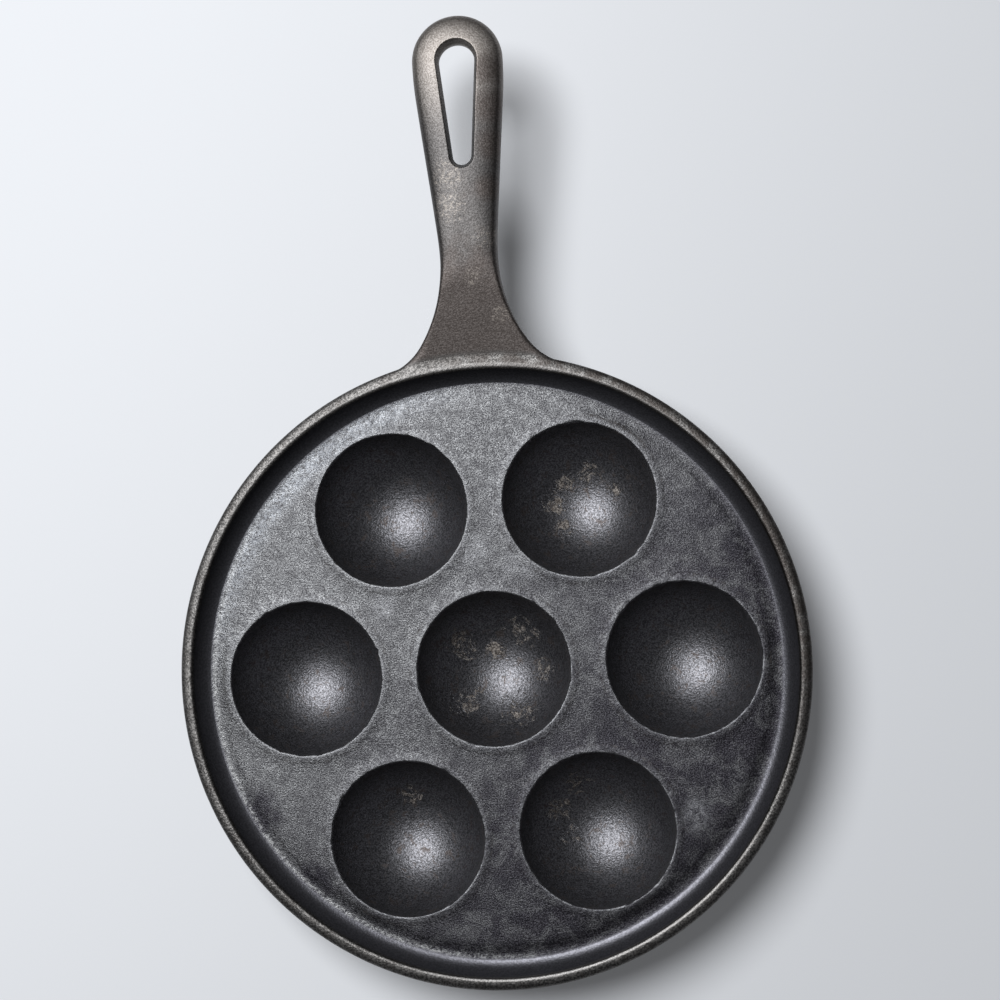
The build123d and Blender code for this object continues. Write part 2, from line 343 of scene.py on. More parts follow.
def handle_inset(x, y):
    """Distance inside the handle's outline, seen from above."""
    x = abs(x)
    if y < 0:
        return -RIM_RADIUS
    if y > END_CENTRE_Y:
        return END_RADIUS - hypot(x, y - END_CENTRE_Y)
    if y > NECK_Y:
        return half_width(y) - x
    turn = atan2(FLARE_CENTRE[1] - y, FLARE_CENTRE[0] - x)
    if turn < FLARE_TURN:
        return hypot(FLARE_CENTRE[0] - x, FLARE_CENTRE[1] - y) - FLARE_RADIUS
    turn = atan2(FLARE_FOOT_CENTRE[1] - y, FLARE_FOOT_CENTRE[0] - x)
    if turn < FLARE_FOOT_TURN:
        return hypot(FLARE_FOOT_CENTRE[0] - x, FLARE_FOOT_CENTRE[1] - y) - FLARE_FOOT_RADIUS
    return flare_place(FLARE_FOOT_CENTRE, FLARE_FOOT_RADIUS, FLARE_FOOT_TURN)[0] - x


def edge_inset(x, y):
    """Distance inside the outline that pan and handle make together."""
    return max(RIM_RADIUS - hypot(x, y), handle_inset(x, y))


def eye_inset(x, y):
    """Distance from the eye's edge into the metal."""
    x = abs(x)
    y -= EYE_NARROW_Y
    length = EYE_WIDE_Y - EYE_NARROW_Y
    lean = (EYE_NARROW_RADIUS - EYE_WIDE_RADIUS) / length
    rest = sqrt(1 - lean * lean)
    along = rest * y - lean * x
    if along < 0:
        return hypot(x, y) - EYE_NARROW_RADIUS
    if along > rest * length:
        return hypot(x, y - length) - EYE_WIDE_RADIUS
    return rest * x + lean * y - EYE_NARROW_RADIUS


def arch(y, depth):
    """Height of the arched grip at a place along it, at a depth below its ridge."""
    return ARCH_CENTRE_Z + sqrt((ARCH_RADIUS - depth) ** 2 - (TIP_Y - y) ** 2)


def climb(x, y, low, depth, crease, crease_reach, crest_reach):
    """Height that stays low beside the rim, climbs to the neck and follows the arch."""
    if y > NECK_Y:
        return arch(y, depth)
    lift = tan(HANDLE_LIFT)
    crest = arch(NECK_Y, depth) - lift * (NECK_Y - CREST_Y)
    slope = (crest - low) / (CREST_Y - crease)
    round_rim = 1 - ease((y - crease) / (CREST_Y - crease))
    away = y + (hypot(x, y) - y) * round_rim - crease
    return low + slope * bend(away, crease_reach) + (lift - slope) * bend(y - CREST_Y, crest_reach)


def ridge_height(x, y):
    """Height of the handle's ridge, before its crown and rounds fall away."""
    return climb(x, y, RIM_TOP, 0, CREASE, CREASE_REACH, CREST_REACH)


def handle_top(x, y):
    """Height of the handle's upper face."""
    return ridge_height(x, y) - top_drop(x, y) - rounding(eye_inset(x, y), EYE_ROUND, EYE_ROUND)


def handle_under(x, y):
    """Height of the handle's lower face."""
    level = climb(x, y, ROOT_UNDER, HANDLE_THICKNESS, UNDER_CREASE, UNDER_REACH, UNDER_REACH)
    level += rounding(edge_inset(x, y), *rounds_at(UNDER_ROUNDS, y))
    return level + rounding(eye_inset(x, y), EYE_ROUND, EYE_ROUND)


def cove_height(radius):
    """Height of the cove's hollow above the plate, at a distance from the axis."""
    return COVE_RADIUS - sqrt(COVE_RADIUS ** 2 - max(0.0, radius - COVE_START) ** 2)


def lip_height(x, y):
    """Height of the lip, rounded towards the cove, falling away outside and rising to the handle."""
    inner = rounding(hypot(x, y) - LIP_EDGE, LIP_INNER_WIDTH, LIP_INNER_ROUND)
    foot = (ridge_height(x, y) - RIM_TOP) * ease(1 + handle_inset(x, y) / FOOT_BLEND)
    return RIM_TOP + foot - inner - top_drop(x, y)


def plate_fall(x, y, z):
    """How far the worn plate lies low between the wells and along the cove."""
    radius = hypot(x, y)
    fall = DISH_DEPTH * ease(mouth_distance(x, y) / DISH_REACH)
    fall += BORDER_DEPTH * ease((radius - COVE_START + BORDER_REACH) / BORDER_REACH)
    if z < PLATE_TOP:
        return fall * unit((z - PLATE_UNDER) / (PLATE_TOP - PLATE_UNDER))
    return fall * unit(1 - (z - PLATE_TOP) / (RIM_TOP - PLATE_TOP))


def settle(bm):
    """Gives a piece the casting's unevenness, which hangs on place alone."""
    for vert in bm.verts:
        x, y, z = vert.co
        fall = plate_fall(x, y, z) if z > PLATE_UNDER and hypot(x, y) < RIM_RADIUS else 0.0
        wave = noise.noise(vert.co / WAVE_LENGTH) - 1
        ripple = noise.noise(vert.co / (WAVE_LENGTH / RIPPLE_PART)) - 1
        lift = WAVE_DEPTH * (wave + ripple / RIPPLE_PART) * unit(z / PLATE_TOP)
        vert.co.z += lift - fall


def piece(name, bm, material, node):
    """Turns a finished shape into a piece that stands for a node."""
    settle(bm)
    bmesh.ops.recalc_face_normals(bm, faces=bm.faces)
    for face in bm.faces:
        face.smooth = True
    mesh = bpy.data.meshes.new(name)
    bm.to_mesh(mesh)
    bm.free()
    mesh.set_sharp_from_angle(angle=SHARP_ANGLE)
    mesh.materials.append(material)
    made = bpy.data.objects.new(name, mesh)
    bpy.context.scene.collection.objects.link(made)
    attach(made, "root")
    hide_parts(node)


def once(elements):
    """The elements in their order, each but once."""
    return list(dict.fromkeys(elements))


def only(elements, kind):
    """Those of the elements that are of a kind."""
    return [element for element in elements if isinstance(element, kind)]


def section(corners):
    """A flat section that stands in the XZ plane, from its corners."""
    bm = bmesh.new()
    bm.faces.new([bm.verts.new((x, 0, z)) for x, z in corners])
    return bm


def soften(bm, parts, radius, segments, affect="EDGES"):
    """Rounds edges, or the corners of a section where it affects VERTICES."""
    bmesh.ops.bevel(
        bm, geom=parts, offset=radius, offset_type="OFFSET", affect=affect,
        segments=segments, profile=0.5, material=-1,
    )


def round_corner(bm, corner, radius, segments):
    """Rounds the section's corner that lies nearest to a place."""
    place = Vector((corner[0], 0, corner[1]))
    nearest = min(bm.verts, key=lambda vert: (vert.co - place).length)
    soften(bm, [nearest], radius, segments, "VERTICES")


def divide_long(bm, longest):
    """Cuts every edge of a section that is longer than a size."""
    for edge in list(bm.edges):
        cuts = int(edge.calc_length() / longest)
        if cuts:
            bmesh.ops.subdivide_edges(bm, edges=[edge], cuts=cuts)


def spin_round(bm):
    """Turns a section once round the pan's axis."""
    bmesh.ops.delete(bm, geom=list(bm.faces), context="FACES_ONLY")
    bmesh.ops.spin(
        bm, geom=list(bm.edges), cent=(0, 0, 0), axis=(0, 0, 1), angle=2 * pi,
        steps=RIM_STEPS, use_merge=True,
    )
    bmesh.ops.remove_doubles(bm, verts=bm.verts, dist=MERGE)


def circle(bm, centre, radius, segments):
    """A ring of edges on the plate's top."""
    place = Matrix.Translation((centre.x, centre.y, PLATE_TOP))
    made = bmesh.ops.create_circle(bm, segments=segments, radius=radius, matrix=place)
    return once(edge for vert in made["verts"] for edge in vert.link_edges)


def grow(bm, loop, radius, height):
    """Extrudes a loop of edges to a new radius and height, and gives back the new loop."""
    made = bmesh.ops.extrude_edge_only(bm, edges=loop)["geom"]
    ends = set(only(made, BMVert))
    for vert in ends:
        scale = radius / hypot(vert.co.x, vert.co.y)
        vert.co = (vert.co.x * scale, vert.co.y * scale, height)
    return [edge for edge in only(made, BMEdge) if set(edge.verts) <= ends]


def hangs_loose(vert):
    """Whether a place of the grid has no face or lets the grid's outline touch itself."""
    outline = sum(edge.is_boundary or edge.is_wire for edge in vert.link_edges)
    return outline not in (0, 2) or not vert.link_faces


def lay_grid(bm, border):
    """Lays a square grid over the free web and gives back the edges round it."""
    count = int(2 * border / PLATE_GRID)
    place = Matrix.Translation((0, 0, PLATE_TOP))
    made = bmesh.ops.create_grid(bm, x_segments=count, y_segments=count, size=border, matrix=place)
    away = []
    for vert in made["verts"]:
        x, y = vert.co.xy
        beside_seat = mouth_distance(x, y) - (CUP_RADIUS - WELL_RADIUS)
        if hypot(x, y) > border - PLATE_MARGIN or beside_seat < PLATE_MARGIN:
            away.append(vert)
    while away:
        bmesh.ops.delete(bm, geom=away, context="VERTS")
        left = [vert for vert in made["verts"] if vert.is_valid]
        away = [vert for vert in left if hangs_loose(vert)]
    return [edge for edge in once(edge for vert in left for edge in vert.link_edges) if edge.is_boundary]


def plate_shape():
    """The flat web with its seven seats."""
    bm = bmesh.new()
    edges = circle(bm, Vector((0, 0, 0)), COVE_FOOT, RIM_STEPS)
    for index in range(PLATE_RINGS):
        edges = grow(bm, edges, COVE_FOOT - (index + 1) * PLATE_RING_WIDTH, PLATE_TOP)
    for well in WELLS:
        edges += circle(bm, well, CUP_RADIUS, CUP_STEPS)
    edges += lay_grid(bm, COVE_FOOT - PLATE_RINGS * PLATE_RING_WIDTH)
    bmesh.ops.triangle_fill(bm, use_beauty=True, use_dissolve=False, edges=edges, normal=(0, 0, 1))
    top = list(bm.verts)
    under = bmesh.ops.extrude_face_region(bm, geom=list(bm.faces))["geom"]
    for vert in only(under, BMVert):
        vert.co.z = PLATE_UNDER
    for vert in top:
        vert.co.z = PLATE_TOP + cove_height(hypot(vert.co.x, vert.co.y))
    return bm


def rim_shape():
    """Cove, lip and shoulder, spun from one section."""
    shoulder = (RIM_RADIUS, PLATE_UNDER)
    corners = [(COVE_FOOT, PLATE_UNDER)]
    for index in range(COVE_STEPS):
        radius = COVE_FOOT + (LIP_EDGE - COVE_FOOT) * sin(pi / 2 * index / COVE_STEPS)
        corners.append((radius, PLATE_TOP + cove_height(radius)))
    for index in range(LIP_STEPS + 1):
        radius = LIP_EDGE + LIP_WIDTH * (1 - cos(pi * index / LIP_STEPS)) / 2
        corners.append((radius, lip_height(-radius, 0)))
    bm = section([*corners, shoulder])
    round_corner(bm, shoulder, SHOULDER_ROUND, SHOULDER_STEPS)
    divide_long(bm, RIM_LONGEST)
    spin_round(bm)
    for vert in bm.verts:
        x, y, z = vert.co
        radius = hypot(x, y)
        if z > RIM_TOP - LIP_OUTER_ROUND - MERGE and radius > LIP_EDGE - SLACK:
            vert.co.z = lip_height(x, y)
        if z > PLATE_TOP + MERGE and radius < RIM_RADIUS - MM:
            inner = ease((radius - COVE_START) / COVE_WIDTH)
            outer = ease((RIM_RADIUS - radius) / LIP_WIDTH)
            near = ease(1 - abs(atan2(x, y)) / LIP_SPREAD_REACH)
            spread = LIP_SPREAD * near * min(inner, outer)
            vert.co.x -= x / radius * spread
            vert.co.y -= y / radius * spread
    return bm


def skirt_shape():
    """The side wall and its foot, spun from one section."""
    foot_outer = (FOOT_RADIUS, 0)
    foot_inner = (FOOT_RADIUS - FOOT_WIDTH, 0)
    bm = section([
        (SKIRT_TOP, PLATE_UNDER), foot_outer, foot_inner, (SKIRT_TOP - SKIRT_WALL, PLATE_UNDER),
    ])
    round_corner(bm, foot_outer, FOOT_ROUND, ROUND_STEPS)
    round_corner(bm, foot_inner, FOOT_ROUND, ROUND_STEPS)
    divide_long(bm, SKIRT_LONGEST)
    spin_round(bm)
    return bm


def cut_off(bm, parts, height, side):
    """Cuts away what lies above a height, or below it if the side is -1, and gives the cut's edges."""
    cut = bmesh.ops.bisect_plane(
        bm, geom=parts, dist=MERGE, plane_co=(0, 0, height), plane_no=(0, 0, side), clear_outer=True,
    )
    return only(cut["geom_cut"], BMEdge)


def ball_below(bm, radius, top, rings):
    """Lower part of a ball round the plate's top, and the loop of edges at its top."""
    place = Matrix.Translation((0, 0, PLATE_TOP))
    made = bmesh.ops.create_uvsphere(
        bm, u_segments=CUP_STEPS, v_segments=rings, radius=radius, matrix=place,
    )
    verts = made["verts"]
    edges = once(edge for vert in verts for edge in vert.link_edges)
    faces = once(face for vert in verts for face in vert.link_faces)
    return cut_off(bm, [*verts, *edges, *faces], top, 1)


def on_ring(vert, radius, height):
    """Whether a place lies on a level ring."""
    return abs(hypot(vert.co.x, vert.co.y) - radius) < RING_SLACK and abs(vert.co.z - height) < RING_SLACK


def ring_edges(bm, radius, height):
    """The edges of a level ring at a radius and a height."""
    return [edge for edge in bm.edges if all(on_ring(vert, radius, height) for vert in edge.verts)]


def cup_blank():
    """A cup: hollow ball, even wall, collar under the plate and a flat base."""
    collar_low = PLATE_UNDER - COLLAR_EDGE
    neck_radius = sqrt(CUP_RADIUS ** 2 - (PLATE_TOP - collar_low) ** 2)
    bm = bmesh.new()
    outer = ball_below(bm, CUP_RADIUS, collar_low, CUP_OUTER_RINGS)
    base = cut_off(bm, [*bm.verts, *bm.edges, *bm.faces], 0, -1)
    bmesh.ops.edgeloop_fill(bm, edges=base)
    outer = grow(bm, outer, COLLAR_RADIUS, collar_low)
    outer = grow(bm, outer, COLLAR_RADIUS, PLATE_UNDER)
    outer = grow(bm, outer, CUP_RADIUS, PLATE_UNDER)
    outer = grow(bm, outer, CUP_RADIUS, PLATE_TOP)
    for share in LAND_SHARES:
        outer = grow(bm, outer, WELL_RADIUS + (CUP_RADIUS - WELL_RADIUS) * share, PLATE_TOP)
    ball_below(bm, WELL_RADIUS, PLATE_TOP, CUP_INNER_RINGS)
    bmesh.ops.remove_doubles(bm, verts=bm.verts, dist=SLACK)
    bmesh.ops.recalc_face_normals(bm, faces=bm.faces)
    soften(bm, ring_edges(bm, neck_radius, collar_low), COLLAR_ROUND, ROUND_STEPS)
    soften(bm, ring_edges(bm, WELL_RADIUS, PLATE_TOP), MOUTH_ROUND, ROUND_STEPS)
    return bm


def chip_mouth(bm, centre):
    """Wears the mouth's edge back a little, more in a few chips."""
    for vert in bm.verts:
        radius = hypot(vert.co.x, vert.co.y)
        near = unit(1 - abs(radius - WELL_RADIUS) / CHIP_REACH)
        near *= unit(1 - (PLATE_TOP - vert.co.z) / CHIP_REACH)
        if near <= 0:
            continue
        place = vert.co + centre
        rough = noise.noise(place / ROUGH_LENGTH) * ROUGH_DEPTH
        chip = max(0.0, noise.noise(place / CHIP_LENGTH) - CHIP_START) * CHIP_DEPTH
        away = (rough + chip) * near
        vert.co.x += vert.co.x / radius * away
        vert.co.y += vert.co.y / radius * away
        vert.co.z -= chip * near * CHIP_DROP


def cup_shape(blank, centre):
    """The cup at its place, with its own worn mouth."""
    bm = blank.copy()
    chip_mouth(bm, centre)
    bmesh.ops.translate(bm, verts=bm.verts, vec=centre)
    return bm


def flare_meets_rim():
    """Turn of the flare's lower arc at which it meets the rim."""
    low, high = FLARE_TURN, FLARE_FOOT_TURN
    for _ in range(HALVINGS):
        middle = (low + high) / 2
        if hypot(*flare_place(FLARE_FOOT_CENTRE, FLARE_FOOT_RADIUS, middle)) > RIM_RADIUS:
            low = middle
        else:
            high = middle
    return low


def root_stations():
    """Outline places (half width, place along the handle) from the rim to the neck."""
    places = []
    end_turn = flare_meets_rim()
    for index in range(FOOT_STATIONS):
        turn = end_turn + (FLARE_TURN - end_turn) * index / FOOT_STATIONS
        places.append(flare_place(FLARE_FOOT_CENTRE, FLARE_FOOT_RADIUS, turn))
    for index in range(FLARE_STATIONS + 1):
        turn = FLARE_TURN * (1 - index / FLARE_STATIONS)
        places.append(flare_place(FLARE_CENTRE, FLARE_RADIUS, turn))
    return places


def grip_stations():
    """Outline places from the neck to where the eye's piece begins."""
    places = []
    for index in range(GRIP_STATIONS + 1):
        y = NECK_Y + (EYE_START_Y - NECK_Y) * index / GRIP_STATIONS
        places.append((half_width(y), y))
    return places


def bar_sheet(stations, bulge, across):
    """A grid laid between the outline places, bowed by the bulge at its start."""
    bm = bmesh.new()
    rows = len(stations) - 1
    bmesh.ops.create_grid(bm, x_segments=across, y_segments=rows, size=0.5)
    for vert in bm.verts:
        side = vert.co.x * 2
        row = round((vert.co.y + 0.5) * rows)
        half, y = stations[row]
        x = half * sin(side * pi / 2)
        fade = (1 - row / rows) ** BULGE_FADE
        bow = sqrt(RIM_RADIUS ** 2 - x * x) - sqrt(RIM_RADIUS ** 2 - half * half)
        vert.co = (x, y + bulge * fade * bow, 0)
    return bm


def close_bar(bm):
    """Gives a sheet its under side and sets both faces to the handle's heights."""
    top = list(bm.verts)
    made = bmesh.ops.extrude_face_region(bm, geom=list(bm.faces))["geom"]
    for vert in top:
        vert.co.z = handle_top(vert.co.x, vert.co.y)
    for vert in only(made, BMVert):
        vert.co.z = handle_under(vert.co.x, vert.co.y)
    return bm


def on_rim(face):
    """Whether a face lies against the rim's side."""
    return all(abs(hypot(vert.co.x, vert.co.y) - RIM_RADIUS) < RIM_SLACK for vert in face.verts)


def root_shape():
    """The flared web, with a tongue that seats it under the shoulder."""
    bm = close_bar(bar_sheet(root_stations(), 1, ROOT_ACROSS))
    wall = [face for face in bm.faces if on_rim(face)]
    edges = once(edge for face in wall for edge in face.edges)
    verts = once(vert for face in wall for vert in face.verts)
    bmesh.ops.bisect_plane(
        bm, geom=[*verts, *edges, *wall], dist=MERGE, plane_co=(0, 0, TONGUE_TOP), plane_no=(0, 0, 1),
    )
    low = []
    for face in bm.faces:
        if on_rim(face) and all(vert.co.z < TONGUE_TOP + SLACK for vert in face.verts):
            low.append(face)
    made = bmesh.ops.extrude_face_region(bm, geom=low)["geom"]
    for vert in only(made, BMVert):
        radius = TONGUE_RADII[1] if vert.co.z > TONGUE_TOP - SLACK else TONGUE_RADII[0]
        vert.co.x *= radius / RIM_RADIUS
        vert.co.y *= radius / RIM_RADIUS
    bmesh.ops.delete(bm, geom=[face for face in low if face.is_valid], context="FACES")
    return bm


def grip_shape():
    """The narrow part of the handle."""
    return close_bar(bar_sheet(grip_stations(), 0, GRIP_ACROSS))


def eye_outline(share):
    """A place on the teardrop, once round from its lowest point."""
    length = EYE_WIDE_Y - EYE_NARROW_Y
    lean = (EYE_WIDE_RADIUS - EYE_NARROW_RADIUS) / length
    lean_angle = atan2(lean, sqrt(1 - lean * lean))
    low_arc = EYE_NARROW_RADIUS * (pi / 2 - lean_angle)
    side = length * cos(lean_angle)
    high_arc = EYE_WIDE_RADIUS * (pi / 2 + lean_angle)
    whole = low_arc + side + high_arc
    mirror = 1 if share <= 0.5 else -1
    run = whole * 2 * (share if share <= 0.5 else 1 - share)
    if run < low_arc:
        angle = run / EYE_NARROW_RADIUS
        return mirror * EYE_NARROW_RADIUS * sin(angle), EYE_NARROW_Y - EYE_NARROW_RADIUS * cos(angle)
    if run < low_arc + side:
        part = run - low_arc
        x = EYE_NARROW_RADIUS * cos(lean_angle) + part * lean
        y = EYE_NARROW_Y - EYE_NARROW_RADIUS * sin(lean_angle) + part * cos(lean_angle)
        return mirror * x, y
    angle = (run - low_arc - side) / EYE_WIDE_RADIUS + pi / 2 - lean_angle
    return mirror * EYE_WIDE_RADIUS * sin(angle), EYE_WIDE_Y - EYE_WIDE_RADIUS * cos(angle)


def head_outline(share):
    """The matching place on the handle's outline, which starts at the cut below the eye."""
    base, side, end = HEAD_SHARES
    mirror = 1 if share <= 0.5 else -1
    run = 2 * (share if share <= 0.5 else 1 - share)
    if run < base:
        return mirror * half_width(EYE_START_Y) * run / base, EYE_START_Y
    if run < base + side:
        y = EYE_START_Y + (END_CENTRE_Y - EYE_START_Y) * (run - base) / side
        return mirror * half_width(y), y
    angle = pi / 2 * (1 - run) / end
    return mirror * END_RADIUS * sin(angle), END_CENTRE_Y + END_RADIUS * cos(angle)


def eye_shape():
    """The head of the handle, a grid wrapped round the teardrop."""
    bm = bmesh.new()
    bmesh.ops.create_grid(bm, x_segments=EYE_AROUND, y_segments=EYE_ACROSS, size=0.5)
    for vert in bm.verts:
        share = vert.co.x + 0.5
        out = (1 - cos(pi * (vert.co.y + 0.5))) / 2
        inner_x, inner_y = eye_outline(share)
        outer_x, outer_y = head_outline(share)
        vert.co = (inner_x + (outer_x - inner_x) * out, inner_y + (outer_y - inner_y) * out, 0)
    bmesh.ops.remove_doubles(bm, verts=bm.verts, dist=MERGE)
    close_bar(bm)
    wall = [edge for edge in bm.edges if all(eye_inset(*vert.co.xy) < SLACK for vert in edge.verts)]
    upright = [edge for edge in wall if (edge.verts[0].co.xy - edge.verts[1].co.xy).length < MERGE]
    made = bmesh.ops.subdivide_edges(bm, edges=upright, cuts=EYE_CUTS)["geom_inner"]
    for vert in only(made, BMVert):
        middle_y = max(EYE_NARROW_Y, min(EYE_WIDE_Y, vert.co.y))
        inward = Vector((-vert.co.x, middle_y - vert.co.y, 0)).normalized()
        waist = arch(vert.co.y, 0) - EYE_WAIST_DEPTH
        reach = EYE_WAIST_DEPTH if vert.co.z > waist else HANDLE_THICKNESS - EYE_WAIST_DEPTH
        share = unit(1 - ((vert.co.z - waist) / reach) ** 2)
        vert.co += inward * (EYE_DRAFT + EYE_END_DRAFT * abs(inward.y)) * share
    return bm


def srgb(code):
    """A hex colour as linear red, green, blue and alpha."""
    values = [int(code[index:index + 2], 16) / 255 for index in (1, 3, 5)]
    linear = [v / 12.92 if v <= 0.04045 else ((v + 0.055) / 1.055) ** 2.4 for v in values]
    return (*linear, 1)


def add(tree, kind, inputs=None, **settings):
    """Adds a node with its settings. An input is a value, a socket, or a node, which
    gives the first of its outputs that its settings leave open."""
    made = tree.nodes.new("ShaderNode" + kind)
    for name, value in settings.items():
        setattr(made, name, value)
    for key, value in (inputs or {}).items():
        if isinstance(value, bpy.types.Node):
            value = next(socket for socket in value.outputs if socket.enabled)
        if isinstance(value, bpy.types.NodeSocket):
            tree.links.new(value, made.inputs[key])
        else:
            made.inputs[key].default_value = value
    return made


def coordinates(tree):
    """Place on the casting, that place seen from above, its x, y and z, and its distance from the axis."""
    place = add(tree, "TexCoord").outputs["Object"]
    parts = add(tree, "SeparateXYZ", {0: place}).outputs
    flat = add(tree, "CombineXYZ", {0: parts[0], 1: parts[1]})
    radius = add(tree, "VectorMath", {0: flat}, operation="LENGTH")
    return place, flat, parts, radius


def patterns(tree, place, table):
    """The noise patterns of a finish, one for each row of its table."""
    found = []
    for size, detail, roughness, twist in table:
        inputs = {"Vector": place, "Scale": 1 / (size * MM), "Detail": detail}
        found.append(add(tree, "TexNoise", {**inputs, "Roughness": roughness, "Distortion": twist}))
    return found


def overlap(tree, *masks):
    """Where all the masks hold, or a mask by a share."""
    result = masks[0]
    for mask in masks[1:]:
        result = add(tree, "Math", {0: result, 1: mask}, operation="MULTIPLY")
    return result


def past(tree, *ranges):
    """Where each value is past its range: nought before it, one after, smooth between."""
    return overlap(tree, *[
        add(tree, "MapRange", {0: value, 1: start, 2: end}, **SMOOTH) for value, start, end in ranges
    ])


def marks(tree, flat, table):
    """Nearness to the marks in a table: one in the middle of a mark, nought past its reach."""
    found = None
    for x, y, reach in table:
        away = add(tree, "VectorMath", {0: flat, 1: (x * MM, y * MM, 0)}, operation="DISTANCE")
        mark = past(tree, (away, reach * MM, reach * MM / 4))
        found = mark if found is None else add(tree, "Math", {0: found, 1: mark}, operation="MAXIMUM")
    return found


def towards(tree, flat, x, y):
    """How far a place lies towards a side, as a share of the rim's radius."""
    side = Vector((x, y, 0)).normalized() / RIM_RADIUS
    return add(tree, "VectorMath", {0: flat, 1: side}, operation="DOT_PRODUCT")


def well_distance(tree, flat):
    """Distance from the nearest well's axis."""
    nearest = None
    for well in WELLS:
        away = add(tree, "VectorMath", {0: flat, 1: well}, operation="DISTANCE")
        nearest = away if nearest is None else add(tree, "Math", {0: nearest, 1: away}, operation="MINIMUM")
    return nearest


def swing(tree, pattern, amount):
    """A pattern as a swing about nought."""
    centred = add(tree, "Math", {0: pattern, 1: 0.5}, operation="SUBTRACT")
    return add(tree, "Math", {0: centred, 1: amount}, operation="MULTIPLY")


def plus(tree, value, extra, share):
    """A value and a share of another together."""
    return add(tree, "Math", {0: value, 1: overlap(tree, extra, share)}, operation="ADD")


def grained(tree, grain, start, end, dark, pale):
    """A colour that runs from dark to pale over a range of the grain, both as hex."""
    share = past(tree, (grain, start, end))
    return add(tree, "Mix", {0: share, 6: srgb(dark), 7: srgb(pale)}, **COLOURS)


def tinged(tree, under, mask, share, over):
    """A colour with another laid over it where a mask holds, by a share."""
    return add(tree, "Mix", {0: overlap(tree, mask, share), 6: under, 7: over}, **COLOURS)


def join(tree, mask, first, second):
    """One look over another by a mask. A look is a colour, roughness, height and metal."""
    colour = add(tree, "Mix", {0: mask, 6: first[0], 7: second[0]}, **COLOURS)
    return (colour, *(add(tree, "Mix", {0: mask, 2: a, 3: b}) for a, b in zip(first[1:], second[1:])))


def cove_look(tree, place):
    """In the cove: smooth dark oil, baked on and wiped."""
    fine = patterns(tree, place, COVE_PATTERNS)[0]
    return grained(tree, fine, 0.35, 0.65, "#424246", "#515156"), 0.36, overlap(tree, fine, 0.4), 0.78


def side_look(tree, place):
    """Outside and underneath: matt seasoning over rough sand-cast skin."""
    fine = patterns(tree, place, SIDE_PATTERNS)[0]
    return grained(tree, fine, 0.35, 0.65, "#242223", "#464342"), 0.56, overlap(tree, fine, 1.4), 0.9


